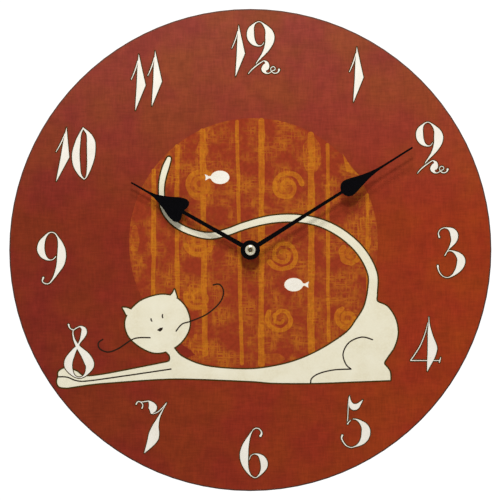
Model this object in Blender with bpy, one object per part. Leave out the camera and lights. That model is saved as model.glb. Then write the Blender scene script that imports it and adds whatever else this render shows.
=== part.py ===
"""Round printed wall clock on a quartz movement: board, hands, case, battery and the whole gear train.

Lengths are in millimetres until a mesh is made. A depth is measured from the wall towards the viewer,
so a point at depth d lies at y = -d mm. Angles of the dial run clockwise from 12, as seen from the front.
"""

import math

import bmesh
import bpy
from mathutils import Vector
from mathutils.geometry import tessellate_polygon

MM = 0.001
SMOOTH_ANGLE = math.radians(30)

# ---- the board and its print ----
BOARD_RADIUS = 152.4
BOARD_BACK = 18.1
BOARD_FRONT = 24.1
BOARD_CHAMFER = 0.8
BOARD_SIDES = 96
CENTRE_HOLE_RADIUS = 4.1
PRINT_BACK = 24.15
PRINT_FRONT = 24.4
PRINT_RADIUS = 151.5

# ---- the movement's case ----
CASE_HALF = 28.0
CASE_FRONT = 16.5
CASE_CORNER = 3.0
WALL_INNER = 26.8
CHAMBER_FLOOR = 15.3
PARTITION_TOP = -10.9
PARTITION_BOTTOM = -12.0
BAY_BOTTOM = -26.9
COVER_THICK = 1.4
COVER_GAP = 0.3
HANGER_HALF_WIDTH = 6.5
HANGER_ARC_Z = 32.5
HANGER_SEAT_Z = 35.2

# ---- the stack of tubes through the centre hole ----
BUSHING_RADIUS = 3.8
BUSHING_BORE = 2.58
BUSHING_END = 28.2
HOUR_TUBE_RADIUS = 2.5
HOUR_TUBE_BORE = 1.68
HOUR_TUBE_END = 29.9
MINUTE_PIPE_RADIUS = 1.6
MINUTE_PIPE_BORE = 0.58
ARBOR_RADIUS = 0.5
PIVOT_HOLE_RADIUS = 0.58
ARBOR_BACK = 1.8
ARBOR_FRONT = 14.6
SECONDS_ARBOR_END = 34.6

# ---- the gears: (teeth, module); a tooth's sides run through (height in modules, half width in pitches) ----
WHEEL_TOOTH = ((-1.15, 0.32), (0.85, 0.12))
PINION_TOOTH = ((-1.15, 0.17), (0.0, 0.24), (0.62, 0.14))
ROTOR_PINION = (8, 0.3)
INTERMEDIATE_WHEEL = (40, 0.3)
INTERMEDIATE_PINION = (8, 0.36)
SECONDS_WHEEL = (48, 0.36)
SECONDS_PINION = (8, 0.3)
THIRD_WHEEL = (60, 0.3)
THIRD_PINION = (8, 0.85 / 3)
CENTRE_WHEEL = (64, 0.85 / 3)
MINUTE_PINION = (10, 0.54)
MOTION_WHEEL = (30, 0.54)
MOTION_PINION = (10, 0.432)
HOUR_WHEEL = (40, 0.432)

# ---- the hands, as (distance from the arbor, half width) along one side ----
HAND_HUB_RADIUS = 6.2
HAND_ROOT_HALF_WIDTH = 1.5
HOUR_ANGLE = -60.5
MINUTE_ANGLE = 57.7
HOUR_NECK = (48.2, 1.1)
MINUTE_NECK = (68.0, 0.95)
HOUR_COLLAR_RADIUS = 4.6
MINUTE_COLLAR_RADIUS = 4.0
HOUR_HAND_BORE = 2.54
MINUTE_HAND_BORE = 1.5
HOUR_SIDE = (
    (48.5, 1.6), (47.7, 3.4), (47.5, 5.2), (48.0, 6.9), (49.2, 7.8), (51.0, 8.1), (53.0, 7.7), (55.5, 6.9),
    (58.4, 5.4), (61.5, 4.0), (65.0, 2.6), (69.0, 1.3), (73.0, 0.75), (86.2, 0.5),
)
MINUTE_SIDE = (
    (68.2, 1.7), (69.0, 3.3), (70.4, 4.8), (72.4, 5.45), (74.6, 5.3), (77.5, 4.6), (81.0, 3.55), (85.0, 2.5),
    (89.5, 1.55), (94.0, 0.95), (99.0, 0.7), (120.7, 0.6),
)
HOUR_HAND_DEPTHS = (28.7, 29.2, 29.7)
MINUTE_HAND_DEPTHS = (31.6, 32.1, 32.6)

# ---- the cell ----
CELL_Z = -19.45
CELL_DEPTH = 8.1
CELL_BACK_END = -24.6
CELL_NUB_END = 25.9


def polar(radius, degrees):
    """A point at this distance from the arbor, the angle counted anticlockwise from 3 o'clock."""
    turn = math.radians(degrees)
    return (radius * math.cos(turn), radius * math.sin(turn))


ARBOR = (0.0, 0.0)
THIRD = polar(10.2, 160.0)
INTERMEDIATE = polar(10.08, 50.0)
MOTION = polar(10.8, -5.0)
ROTOR = (INTERMEDIATE[0] + polar(7.2, 60.0)[0], INTERMEDIATE[1] + polar(7.2, 60.0)[1])

STATOR_POSTS = ((-2.6, 12.0), (22.6, 12.0))
BOARD_POSTS = ((-23.4, 16.2), (-10.2, 23.4))


# ---- outlines ----
def circle(radius, sides, centre=(0.0, 0.0)):
    step = 2 * math.pi / sides
    return [
        (centre[0] + radius * math.cos(i * step), centre[1] + radius * math.sin(i * step))
        for i in range(sides)
    ]


def rectangle(low_u, high_u, low_v, high_v, corner=0.0, steps=4):
    """A rectangle, its corners rounded to this radius."""
    if corner == 0.0:
        return [(low_u, low_v), (high_u, low_v), (high_u, high_v), (low_u, high_v)]
    centres = (
        (high_u - corner, high_v - corner, 0),
        (low_u + corner, high_v - corner, 90),
        (low_u + corner, low_v + corner, 180),
        (high_u - corner, low_v + corner, 270),
    )
    points = []
    for centre_u, centre_v, start in centres:
        for i in range(steps + 1):
            du, dv = polar(corner, start + 90 * i / steps)
            points.append((centre_u + du, centre_v + dv))
    return points


def gear(teeth_and_module, tooth, facing, has_tooth_there, centre=(0.0, 0.0)):
    """A toothed outline with a tooth, or else a gap, facing this direction in degrees."""
    teeth, module = teeth_and_module
    pitch = 2 * math.pi / teeth
    first = math.radians(facing) + (0.0 if has_tooth_there else pitch / 2)
    sides = [(height, -half) for height, half in tooth] + [(height, half) for height, half in reversed(tooth)]
    points = []
    for i in range(teeth):
        for height, share in sides:
            radius = module * (teeth / 2 + height)
            turn = first + (i + share) * pitch
            points.append((centre[0] + radius * math.cos(turn), centre[1] + radius * math.sin(turn)))
    return points


def direction(start, end):
    return math.degrees(math.atan2(end[1] - start[1], end[0] - start[0]))


def hand_outline(hub_radius, root_half_width, neck, side, clock_angle):
    """A hand: round hub, bar tapering to the neck, then the side's points to the tip, mirrored."""
    root_turn = math.asin(root_half_width / hub_radius)
    hub_steps = 24
    right = [(hub_radius * math.cos(root_turn), root_half_width), neck, *side]
    left = [(along, -half) for along, half in reversed(right)]
    sweep = 2 * math.pi - 2 * root_turn
    hub = []
    for i in range(1, hub_steps):
        turn = -root_turn - sweep * i / hub_steps
        hub.append((hub_radius * math.cos(turn), hub_radius * math.sin(turn)))
    along_axis = math.radians(90 - clock_angle)
    cosine = math.cos(along_axis)
    sine = math.sin(along_axis)
    return [(u * cosine - v * sine, u * sine + v * cosine) for u, v in right + left + hub]


def ribbon(points, half_thickness):
    """A bent strip's outline: the line through these points, thickened to both sides."""
    normals = []
    for i in range(len(points)):
        before = points[max(i - 1, 0)]
        after = points[min(i + 1, len(points) - 1)]
        across = Vector((before[1] - after[1], after[0] - before[0])).normalized()
        normals.append(across * half_thickness)
    ahead = [(p[0] + n.x, p[1] + n.y) for p, n in zip(points, normals)]
    back = [(p[0] - n.x, p[1] - n.y) for p, n in zip(points, normals)]
    return ahead + back[::-1]


# ---- solids ----
def place(u, v, along, axis):
    """The point of an outline (u, v), pushed this far along an axis: depth, x or z."""
    if axis == "depth":
        return Vector((u, -along, v)) * MM
    if axis == "x":
        return Vector((along, -u, v)) * MM
    return Vector((u, -v, along)) * MM


def finish(name, builder, material, centre=(0.0, 0.0)):
    """Turns the faces into an object whose origin is on this axis."""
    bmesh.ops.remove_doubles(builder, verts=builder.verts[:], dist=1e-7)
    bmesh.ops.recalc_face_normals(builder, faces=builder.faces[:])
    origin = Vector((centre[0], 0.0, centre[1])) * MM
    bmesh.ops.translate(builder, verts=builder.verts[:], vec=-origin)
    mesh = bpy.data.meshes.new(name)
    builder.to_mesh(mesh)
    builder.free()
    solid = bpy.data.objects.new(name, mesh)
    solid.location = origin
    bpy.context.scene.collection.objects.link(solid)
    if material is not None:
        dress(solid, material)
    return solid


def dress(solid, material):
    solid.data.materials.clear()
    solid.data.materials.append(MATERIALS[material])
    solid.data.polygons.foreach_set("use_smooth", [True] * len(solid.data.polygons))
    solid.data.set_sharp_from_angle(angle=SMOOTH_ANGLE)


def add_walls(builder, outline, low, high, axis):
    lower = [builder.verts.new(place(u, v, low, axis)) for u, v in outline]
    upper = [builder.verts.new(place(u, v, high, axis)) for u, v in outline]
    for i in range(len(outline)):
        j = (i + 1) % len(outline)
        builder.faces.new((lower[i], lower[j], upper[j], upper[i]))


def add_flat(builder, outlines, along, axis):
    """Fills the flat region inside the first outline and outside the others."""
    loops = [[place(u, v, along, axis) for u, v in outline] for outline in outlines]
    corners = [builder.verts.new(point) for loop in loops for point in loop]
    for triangle in tessellate_polygon(loops):
        builder.faces.new([corners[i] for i in triangle])


def stack(name, levels, material=None, holes=(), axis="depth", centre=(0.0, 0.0)):
    """Outlines extruded one above another, each as (outline, low, high). Neighbours lie one inside the other.

    The holes run through every level.
    """
    builder = bmesh.new()
    holes = list(holes)
    for outline, low, high in levels:
        add_walls(builder, outline, low, high, axis)
    for (outline, _, high), (following, _, _) in zip(levels, levels[1:]):
        reach = max(math.dist(p, centre) for p in outline)
        following_reach = max(math.dist(p, centre) for p in following)
        pair = [outline, following] if reach > following_reach else [following, outline]
        add_flat(builder, pair, high, axis)
    for hole in holes:
        add_walls(builder, hole, levels[0][1], levels[-1][2], axis)
    add_flat(builder, [levels[0][0], *holes], levels[0][1], axis)
    add_flat(builder, [levels[-1][0], *holes], levels[-1][2], axis)
    return finish(name, builder, material, centre if axis == "depth" else (0.0, 0.0))


def prism(name, outline, low, high, material=None, holes=(), axis="depth"):
    return stack(name, [(outline, low, high)], material, holes, axis)


def box(low_x, high_x, low_depth, high_depth, low_z, high_z):
    return prism("box", rectangle(low_x, high_x, low_z, high_z), low_depth, high_depth)


def mirrored(side, near, far):
    """The low and high x of something this far out, on the side -1 or 1."""
    return sorted((side * near, side * far))


def rod(radius, sides, low, high, centre):
    return prism("rod", circle(radius, sides, centre), low, high)


def turned(name, profile, sides, material=None, axis="depth", centre=(0.0, 0.0), is_ring=True):
    """A profile of (along, radius) points turned about an axis. A solid one starts and ends on it."""
    builder = bmesh.new()
    step = 2 * math.pi / sides
    rings = []
    for along, radius in profile:
        count = sides if radius > 0 else 1
        rings.append([
            builder.verts.new(
                place(
                    centre[0] + radius * math.cos(i * step),
                    centre[1] + radius * math.sin(i * step), along, axis,
                )
            )
            for i in range(count)
        ])
    pairs = list(zip(rings, rings[1:]))
    if is_ring:
        pairs.append((rings[-1], rings[0]))
    for first, second in pairs:
        for i in range(sides):
            corners = [first[i % len(first)], first[(i + 1) % len(first)]]
            corners += [second[(i + 1) % len(second)], second[i % len(second)]]
            builder.faces.new(list(dict.fromkeys(corners)))
    return finish(name, builder, material, centre if axis == "depth" else (0.0, 0.0))


def combine(solid, tool, operation):
    """Joins a tool to a solid, or cuts it out, and removes the tool."""
    modifier = solid.modifiers.new("combine", "BOOLEAN")
    modifier.operation = operation
    modifier.solver = "EXACT"
    modifier.object = tool
    graph = bpy.context.evaluated_depsgraph_get()
    solid_mesh = bpy.data.meshes.new_from_object(solid.evaluated_get(graph))
    solid.modifiers.clear()
    solid.data = solid_mesh
    bpy.data.objects.remove(tool)


def join(solid, *tools):
    for tool in tools:
        combine(solid, tool, "UNION")


def cut(solid, *tools):
    for tool in tools:
        combine(solid, tool, "DIFFERENCE")


def make_materials():
    looks = {
        "board_fibre": ((0.36, 0.22, 0.12, 1), 0.75, 0.0),
        "printed_red": ((0.28, 0.06, 0.03, 1), 0.6, 0.0),
        "hand_black": ((0.006, 0.006, 0.008, 1), 0.18, 0.0),
        "nut_brass": ((0.62, 0.58, 0.36, 1), 0.2, 1.0),
        "brass": ((0.72, 0.5, 0.2, 1), 0.3, 1.0),
        "steel": ((0.6, 0.6, 0.62, 1), 0.25, 1.0),
        "case_black": ((0.012, 0.012, 0.013, 1), 0.45, 0.0),
        "rubber": ((0.015, 0.015, 0.015, 1), 0.85, 0.0),
        "gear_white": ((0.8, 0.79, 0.75, 1), 0.4, 0.0),
        "knob_plastic": ((0.02, 0.02, 0.022, 1), 0.35, 0.0),
        "magnet": ((0.09, 0.09, 0.1, 1), 0.5, 0.6),
        "core_iron": ((0.35, 0.35, 0.37, 1), 0.35, 1.0),
        "bobbin_white": ((0.7, 0.7, 0.66, 1), 0.45, 0.0),
        "copper": ((0.7, 0.28, 0.13, 1), 0.3, 1.0),
        "circuit_green": ((0.02, 0.16, 0.05, 1), 0.45, 0.0),
        "epoxy_black": ((0.01, 0.01, 0.01, 1), 0.3, 0.0),
        "nickel": ((0.66, 0.64, 0.6, 1), 0.22, 1.0),
        "label": ((0.03, 0.12, 0.4, 1), 0.35, 0.0),
    }
    made = {}
    for name, (colour, roughness, metallic) in looks.items():
        made[name] = bpy.data.materials.new(name)
        made[name].use_nodes = True
        shader = made[name].node_tree.nodes["Principled BSDF"]
        shader.inputs["Base Color"].default_value = colour
        shader.inputs["Roughness"].default_value = roughness
        shader.inputs["Metallic"].default_value = metallic
    return made


# ---- the clock ----
def make_board():
    hole = CENTRE_HOLE_RADIUS
    edge = BOARD_RADIUS
    turned("dial_board", [
        (BOARD_BACK, hole),
        (BOARD_BACK, edge - BOARD_CHAMFER),
        (BOARD_BACK + BOARD_CHAMFER, edge),
        (BOARD_FRONT - BOARD_CHAMFER, edge),
        (BOARD_FRONT, edge - BOARD_CHAMFER),
        (BOARD_FRONT, hole),
    ], BOARD_SIDES, "board_fibre")
    turned("face_print", [
        (PRINT_BACK, hole),
        (PRINT_BACK, PRINT_RADIUS),
        (PRINT_FRONT, PRINT_RADIUS),
        (PRINT_FRONT, hole),
    ], BOARD_SIDES, "printed_red")


def make_fixings():
    """The threaded bushing and what clamps the board to the case."""
    bore = circle(BUSHING_BORE, 32)
    stack("threaded_bushing", [
        (circle(5.2, 32), 14.0, 15.0),
        (circle(BUSHING_RADIUS, 32), 15.0, BUSHING_END),
    ], "brass", [bore])
    turned("rubber_gasket", [(16.8, 4.1), (16.8, 12.0), (17.8, 12.0), (17.8, 4.1)], 36, "rubber")
    turned("brass_washer", [(24.8, 4.0), (24.8, 5.6), (25.3, 5.6), (25.3, 4.0)], 32, "brass")
    prism("hex_nut", circle(5.77, 6), 25.5, 27.5, "brass", [circle(3.95, 24)])


def make_hands():
    hour = hand_outline(HAND_HUB_RADIUS, HAND_ROOT_HALF_WIDTH, HOUR_NECK, HOUR_SIDE, HOUR_ANGLE)
    low, middle, high = HOUR_HAND_DEPTHS
    layers = [(circle(HOUR_COLLAR_RADIUS, 32), low, middle), (hour, middle, high)]
    stack("hour_hand", layers, "hand_black", [circle(HOUR_HAND_BORE, 32)])
    minute = hand_outline(
        HAND_HUB_RADIUS - 0.1, HAND_ROOT_HALF_WIDTH, MINUTE_NECK, MINUTE_SIDE, MINUTE_ANGLE
    )
    low, middle, high = MINUTE_HAND_DEPTHS
    layers = [(circle(MINUTE_COLLAR_RADIUS, 32), low, middle), (minute, middle, high)]
    stack("minute_hand", layers, "hand_black", [circle(MINUTE_HAND_BORE, 24)])
    turned("hand_nut", [
        (32.9, 1.5), (32.9, 3.0), (33.1, 3.25), (34.0, 3.25),
        (34.5, 2.75), (34.8, 2.1), (34.4, 1.8), (34.2, 1.5),
    ], 32, "nut_brass")


def make_hand_train():
    """The pieces that turn the hands: minute pipe, motion wheel, hour wheel and the knob behind."""
    pinion = gear(MINUTE_PINION, PINION_TOOTH, direction(ARBOR, MOTION), False)
    stack("minute_pipe", [
        (circle(1.1, 24), 8.0, 9.4),
        (pinion, 9.4, 10.8),
        (circle(MINUTE_PIPE_RADIUS, 24), 10.8, 31.4),
        (circle(1.45, 24), 31.4, 34.0),
    ], "brass", [circle(MINUTE_PIPE_BORE, 16)])
    hour = gear(HOUR_WHEEL, WHEEL_TOOTH, direction(ARBOR, MOTION), True)
    stack("hour_wheel", [
        (hour, 11.4, 12.6),
        (circle(HOUR_TUBE_RADIUS, 32), 12.6, HOUR_TUBE_END),
    ], "gear_white", [circle(HOUR_TUBE_BORE, 24)])
    back = direction(MOTION, ARBOR)
    stack("motion_wheel", [
        (circle(1.2, 24, MOTION), 0.9, 9.4),
        (gear(MOTION_WHEEL, WHEEL_TOOTH, back, True, MOTION), 9.4, 10.6),
        (gear(MOTION_PINION, PINION_TOOTH, back, False, MOTION), 10.6, 12.6),
        (circle(ARBOR_RADIUS, 16, MOTION), 12.6, ARBOR_FRONT),
    ], "gear_white", centre=MOTION)
    grip = []
    ridges = 24
    for i in range(ridges):
        for radius, share in ((6.0, 0.0), (6.0, 0.45), (5.65, 0.6), (5.65, 0.85)):
            du, dv = polar(radius, 360 * (i + share) / ridges)
            grip.append((MOTION[0] + du, MOTION[1] + dv))
    stack("setting_knob", [
        (grip, 0.4, 1.9),
        (circle(2.4, 24, MOTION), 1.9, 2.3),
    ], "knob_plastic", [circle(1.25, 24, MOTION)], centre=MOTION)


def make_running_train():
    """The pieces the motor turns, from the rotor to the centre wheel that drives the hands."""
    stack("center_wheel", [
        (gear(CENTRE_WHEEL, WHEEL_TOOTH, direction(ARBOR, THIRD), True), 8.2, 9.0),
    ], "gear_white", [circle(1.18, 24)])
    turned("clutch_washer", [(9.1, 1.18), (9.1, 2.2), (9.3, 2.2), (9.3, 1.18)], 24, "steel")
    stack("seconds_wheel", [
        (circle(1.3, 16), 4.3, 5.0),
        (gear(SECONDS_WHEEL, WHEEL_TOOTH, direction(ARBOR, INTERMEDIATE), True), 5.0, 5.8),
        (gear(SECONDS_PINION, PINION_TOOTH, direction(ARBOR, THIRD), False), 5.8, 7.5),
    ], "gear_white", [circle(0.54, 16)])
    prism("seconds_arbor", circle(ARBOR_RADIUS, 16), ARBOR_BACK, SECONDS_ARBOR_END, "steel")
    inward = direction(THIRD, ARBOR)
    stack("third_wheel", [
        (circle(ARBOR_RADIUS, 16, THIRD), ARBOR_BACK, 6.4),
        (gear(THIRD_WHEEL, WHEEL_TOOTH, inward, True, THIRD), 6.4, 7.2),
        (gear(THIRD_PINION, PINION_TOOTH, inward, False, THIRD), 7.2, 9.2),
        (circle(ARBOR_RADIUS, 16, THIRD), 9.2, ARBOR_FRONT),
    ], "gear_white", centre=THIRD)
    to_rotor = direction(INTERMEDIATE, ROTOR)
    to_arbor = direction(INTERMEDIATE, ARBOR)
    stack("intermediate_wheel", [
        (circle(ARBOR_RADIUS, 16, INTERMEDIATE), ARBOR_BACK, 4.7),
        (gear(INTERMEDIATE_PINION, PINION_TOOTH, to_arbor, False, INTERMEDIATE), 4.7, 7.0),
        (gear(INTERMEDIATE_WHEEL, WHEEL_TOOTH, to_rotor, True, INTERMEDIATE), 7.0, 7.8),
        (circle(ARBOR_RADIUS, 16, INTERMEDIATE), 7.8, ARBOR_FRONT),
    ], "gear_white", centre=INTERMEDIATE)
    stack("rotor_pinion", [
        (circle(ARBOR_RADIUS, 16, ROTOR), ARBOR_BACK, 6.8),
        (gear(ROTOR_PINION, PINION_TOOTH, direction(ROTOR, INTERMEDIATE), False, ROTOR), 6.8, 8.7),
        (circle(1.8, 24, ROTOR), 8.7, 9.1),
        (circle(0.8, 16, ROTOR), 9.1, 12.1),
        (circle(ARBOR_RADIUS, 16, ROTOR), 12.1, ARBOR_FRONT),
    ], "gear_white", centre=ROTOR)
    prism("rotor_magnet", circle(3.0, 32, ROTOR), 9.2, 11.8, "magnet", [circle(0.85, 16, ROTOR)])


def make_hanger():
    """The loop above the case, with an eye that narrows upwards to a round seat for the hook."""
    half = HANGER_HALF_WIDTH
    loop = [(-half, WALL_INNER), (half, WALL_INNER)]
    loop += [(u, v + HANGER_ARC_Z) for u, v in (polar(half, 10 * i) for i in range(19))]
    eye_half = 3.6
    eye_seat_radius = 1.6
    eye = [(-eye_half, 29.6), (eye_half, 29.6), (eye_half, 32.0)]
    eye += [(u, v + HANGER_SEAT_Z) for u, v in (polar(eye_seat_radius, 30 * i) for i in range(7))]
    eye.append((-eye_half, 32.0))
    return prism("hanger", loop, 0, 2.0, holes=[eye])


def make_case():
    square = rectangle(-CASE_HALF, CASE_HALF, -CASE_HALF, CASE_HALF, CASE_CORNER)
    case = prism("case_front", square, 0, CASE_FRONT)
    wall = WALL_INNER
    chamber = rectangle(-wall, wall, PARTITION_TOP, wall, 1.0)
    bay = rectangle(-wall, wall, BAY_BOTTOM, PARTITION_BOTTOM, 1.0)
    cut(case, prism("chamber", chamber, -1, CHAMBER_FLOOR), prism("bay", bay, -1, 15.4))
    for side in (-1, 1):
        strip_slot = box(*mirrored(side, 25.7, 26.9), 11.9, 14.8, -12.4, -10.5)
        upper_ledge = box(*mirrored(side, 24.6, 27.2), 1.7, 4.0, 24.6, 27.2)
        lower_ledge = box(*mirrored(side, 24.6, 27.2), 1.7, 4.0, -11.3, -8.6)
        latch_window = box(*mirrored(side, 25.5, 29.0), 2.1, 3.6, 4.8, 9.2)
        cut(case, strip_slot, latch_window)
        join(case, upper_ledge, lower_ledge)
    finger_notch = box(-7, 7, -1, 6, -29, -25)
    cut(case, finger_notch)
    cut(case, rod(CENTRE_HOLE_RADIUS, 32, 14, 18, ARBOR))
    for centre in (THIRD, INTERMEDIATE, ROTOR, MOTION):
        hole = circle(PIVOT_HOLE_RADIUS, 16, centre)
        join(case, prism("boss", circle(1.5, 16, centre), 13.4, 15.5, holes=[hole]))
    for centre in STATOR_POSTS + BOARD_POSTS:
        join(case, stack("post", [
            (circle(0.8, 12, centre), 9.4, 11.2),
            (circle(1.5, 12, centre), 11.2, 15.5),
        ], centre=centre))
    join(case, make_hanger())
    dress(case, "case_black")


def make_rear_cover():
    cover = prism("rear_cover", rectangle(-26.5, 26.5, PARTITION_TOP + COVER_GAP, 26.5, 0.8), 0, COVER_THICK)
    join(cover, rod(7.8, 40, 0.4, 3.8, MOTION))
    cut(cover, rod(6.8, 40, -1, 2.6, MOTION), rod(1.28, 24, 2, 5, MOTION))
    for centre in (ARBOR, THIRD, INTERMEDIATE, ROTOR):
        join(cover, rod(1.6, 16, 1.0, 3.5, centre))
        cut(cover, rod(PIVOT_HOLE_RADIUS, 16, 1.6, 4.5, centre))
    for side in (-1, 1):
        latch_arm = box(*mirrored(side, 25.3, 26.45), 1.0, 3.3, 5.4, 8.6)
        latch_hook = box(*mirrored(side, 26.0, 27.4), 2.4, 3.29, 5.42, 8.58)
        join(cover, latch_arm, latch_hook)
    dress(cover, "case_black")


def make_motor():
    """The stepping motor round the rotor, and the circuit that drives it."""
    stator = [
        (-5.0, 9.3), (25.0, 9.3), (25.0, 24.6), (21.0, 24.6),
        (21.0, 18.6), (-1.0, 18.6), (-1.0, 24.6), (-5.0, 24.6),
    ]
    holes = [circle(3.5, 32, ROTOR)] + [circle(1.1, 16, centre) for centre in STATOR_POSTS]
    prism("stator_plate", stator, 10.2, 11.0, "core_iron", holes)
    core = rectangle(11.1, 11.9, 20.9, 23.9)
    prism("coil_core", core, -5, 25, "core_iron", axis="x")
    bore = rectangle(10.8, 12.2, 20.6, 24.2)
    tube = rectangle(10.0, 13.0, 19.8, 25.0, 0.4, 2)
    flange = rectangle(8.6, 14.4, 18.9, 25.9, 0.6, 2)
    mid = (11.5, 22.4)
    stack("coil_bobbin", [(flange, 0, 1), (tube, 1, 19), (flange, 19, 20)], "bobbin_white", [bore], "x", mid)
    wound = rectangle(8.9, 14.1, 19.1, 25.7, 2.2, 5)
    around = rectangle(9.85, 13.15, 19.65, 25.15, 0.5, 2)
    prism("coil_winding", wound, 1.15, 18.85, "copper", [around], "x")
    holes = [circle(1.1, 16, centre) for centre in BOARD_POSTS]
    prism("circuit_board", rectangle(-25.7, -8.0, 13.9, 25.6), 10.2, 11.0, "circuit_green", holes)
    blob = [(11.05, 0), (11.05, 2.8), (11.5, 2.45), (11.9, 1.5), (12.1, 0)]
    turned("chip", blob, 20, "epoxy_black", centre=(-17.0, 20.0), is_ring=False)
    can = [(-20.6, 0), (-20.6, 0.9), (-20.4, 1.05), (-14.8, 1.05), (-14.8, 0)]
    crystal = turned("quartz_crystal", can, 16, axis="x", centre=(12.2, 15.8), is_ring=False)
    for z in (15.4, 16.2):
        join(crystal, prism("lead", circle(0.2, 8, (12.2, z)), -15.2, -12.4, axis="x"))
    dress(crystal, "nickel")


def make_contacts():
    """The two spring strips that carry the current from the cell to the circuit board."""
    low, high = 12.2, 14.4
    bend = [(26.3, -23.4), (26.3, 26.4), (-15.0, 26.4), (-15.0, 26.1), (26.0, 26.1), (26.0, -23.4)]
    positive = prism("contact_positive", bend, low, high)
    join(positive, prism("pad", rectangle(4.6, 12.6, -23.2, -15.7), 26.02, 26.28, axis="x"))
    tab = [(11.1, 23.4), (11.4, 23.4), (11.4, 26.12), (12.6, 26.12), (12.6, 26.38), (11.1, 26.38)]
    join(positive, prism("tab", tab, -14.9, -13.0, axis="x"))
    dress(positive, "nickel")
    leaf = ribbon([
        (-26.35, 14.3), (-26.35, 3.4), (-26.2, 2.6), (-25.8, 2.2), (-25.45, 2.7),
        (-24.95, 6.2), (-24.88, 8.4), (-25.1, 10.4), (-25.7, 12.6),
    ], 0.13)
    negative = prism("contact_negative", leaf, -22.5, -16.5, axis="z")
    join(negative, prism("riser", rectangle(low, high - 0.15, -17.0, 21.0), -26.46, -26.24, axis="x"))
    tab = [(-26.44, 12.6), (-26.44, 11.1), (-22.6, 11.1), (-22.6, 11.4), (-26.26, 11.4), (-26.26, 12.6)]
    join(negative, prism("tab", tab, 18.6, 20.8, axis="z"))
    dress(negative, "nickel")


def make_cell():
    middle = (CELL_DEPTH, CELL_Z)
    back = CELL_BACK_END
    front = CELL_NUB_END - 1.0
    turned("battery_cell", [
        (back, 0), (back, 6.2), (back + 0.3, 6.85), (front - 0.9, 6.85), (front - 0.4, 6.3), (front, 3.2),
        (front, 2.75), (CELL_NUB_END, 2.6), (CELL_NUB_END, 0),
    ], 32, "nickel", "x", middle, is_ring=False)
    turned("battery_jacket", [
        (back + 0.4, 6.95), (back + 0.4, 7.1), (front - 0.9, 7.1), (front - 0.9, 6.95),
    ], 32, "label", "x", middle)


for leftover in list(bpy.data.objects):
    bpy.data.objects.remove(leftover)
MATERIALS = make_materials()
make_board()
make_fixings()
make_hands()
make_hand_train()
make_running_train()
make_case()
make_rear_cover()
make_motor()
make_contacts()
make_cell()
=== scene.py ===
"""A round wall clock with a printed canvas-look dial, black hands and a quartz movement.

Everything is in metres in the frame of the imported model: the arbor is on the Y axis, the wall
plane is y = 0 and the dial faces -Y. The artwork is thin ink laid on the print, and its points
are in millimetres from the arbor: x to the right and z up.
"""
import math
import random

import bpy
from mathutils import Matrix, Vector
from mathutils.geometry import convex_hull_2d, delaunay_2d_cdt


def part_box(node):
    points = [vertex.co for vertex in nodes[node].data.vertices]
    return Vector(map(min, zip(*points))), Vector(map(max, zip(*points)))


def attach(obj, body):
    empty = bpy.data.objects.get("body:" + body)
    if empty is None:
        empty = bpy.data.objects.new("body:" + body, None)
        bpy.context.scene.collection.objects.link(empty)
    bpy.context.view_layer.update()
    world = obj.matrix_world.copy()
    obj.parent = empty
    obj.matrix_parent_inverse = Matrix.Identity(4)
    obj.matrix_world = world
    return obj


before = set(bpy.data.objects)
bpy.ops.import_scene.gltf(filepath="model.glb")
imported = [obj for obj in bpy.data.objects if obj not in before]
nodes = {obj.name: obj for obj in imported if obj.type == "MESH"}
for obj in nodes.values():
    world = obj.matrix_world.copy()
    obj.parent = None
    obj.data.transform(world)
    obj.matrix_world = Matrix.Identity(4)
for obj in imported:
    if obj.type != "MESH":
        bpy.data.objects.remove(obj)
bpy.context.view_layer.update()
dice = random.Random(12)

MM = 0.001
PRINT_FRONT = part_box("face_print")[0][1]

# How finely curves are cut up, and the least half width of a stroke in mm.
SPAN_STEPS = 8
CAP_SIDES = 14
CORNER_SIDES = 10
FINEST_HALF = 0.05

# Heights of the ink layers in front of the print, in mm.
DISC_LAYER = 0.02
WASH_LAYER = 0.035
MOTIF_LAYER = 0.05
OUTLINE_LAYER = 0.07
FILL_LAYER = 0.09
LINE_LAYER = 0.11
NUMERAL_EDGE_LAYER = 0.13
NUMERAL_LAYER = 0.15
INK_SUNK = 0.015


# ---------------------------------------------------------------- shapes in the plane of the dial


def spline(points, steps=SPAN_STEPS):
    """Points on one smooth open curve through these, whatever they hold: x, z and maybe a half width."""
    padded = [points[0]] + list(points) + [points[-1]]
    smooth = []
    for before, start, end, after in zip(padded, padded[1:], padded[2:], padded[3:]):
        for step in range(steps):
            t = step / steps
            smooth.append([
                0.5 * (2 * b + (c - a) * t + (2 * a - 5 * b + 4 * c - d) * t * t
                       + (3 * b - a - 3 * c + d) * t ** 3)
                for a, b, c, d in zip(before, start, end, after)
            ])
    return smooth + [list(points[-1])]


def outline(*runs):
    """A closed outline of smooth runs, with a corner wherever two runs meet."""
    corners = []
    for run in runs:
        corners += spline(run)[:-1] if len(run) > 2 else list(run[:-1])
    return [tuple(corner) for corner in corners]


def round_outline(points):
    """A closed outline that is smooth all the way round."""
    lead = 2
    wrapped = spline(points[-lead:] + points + points[:lead])
    return [tuple(corner) for corner in wrapped[lead * SPAN_STEPS:-(lead - 1) * SPAN_STEPS - 1]]


def ellipse(x, z, wide, tall, steps):
    """An upright ellipse, wide and tall being its half sizes."""
    turns = [2 * math.pi * step / steps for step in range(steps)]
    return [(x + wide * math.cos(turn), z + tall * math.sin(turn)) for turn in turns]


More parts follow.
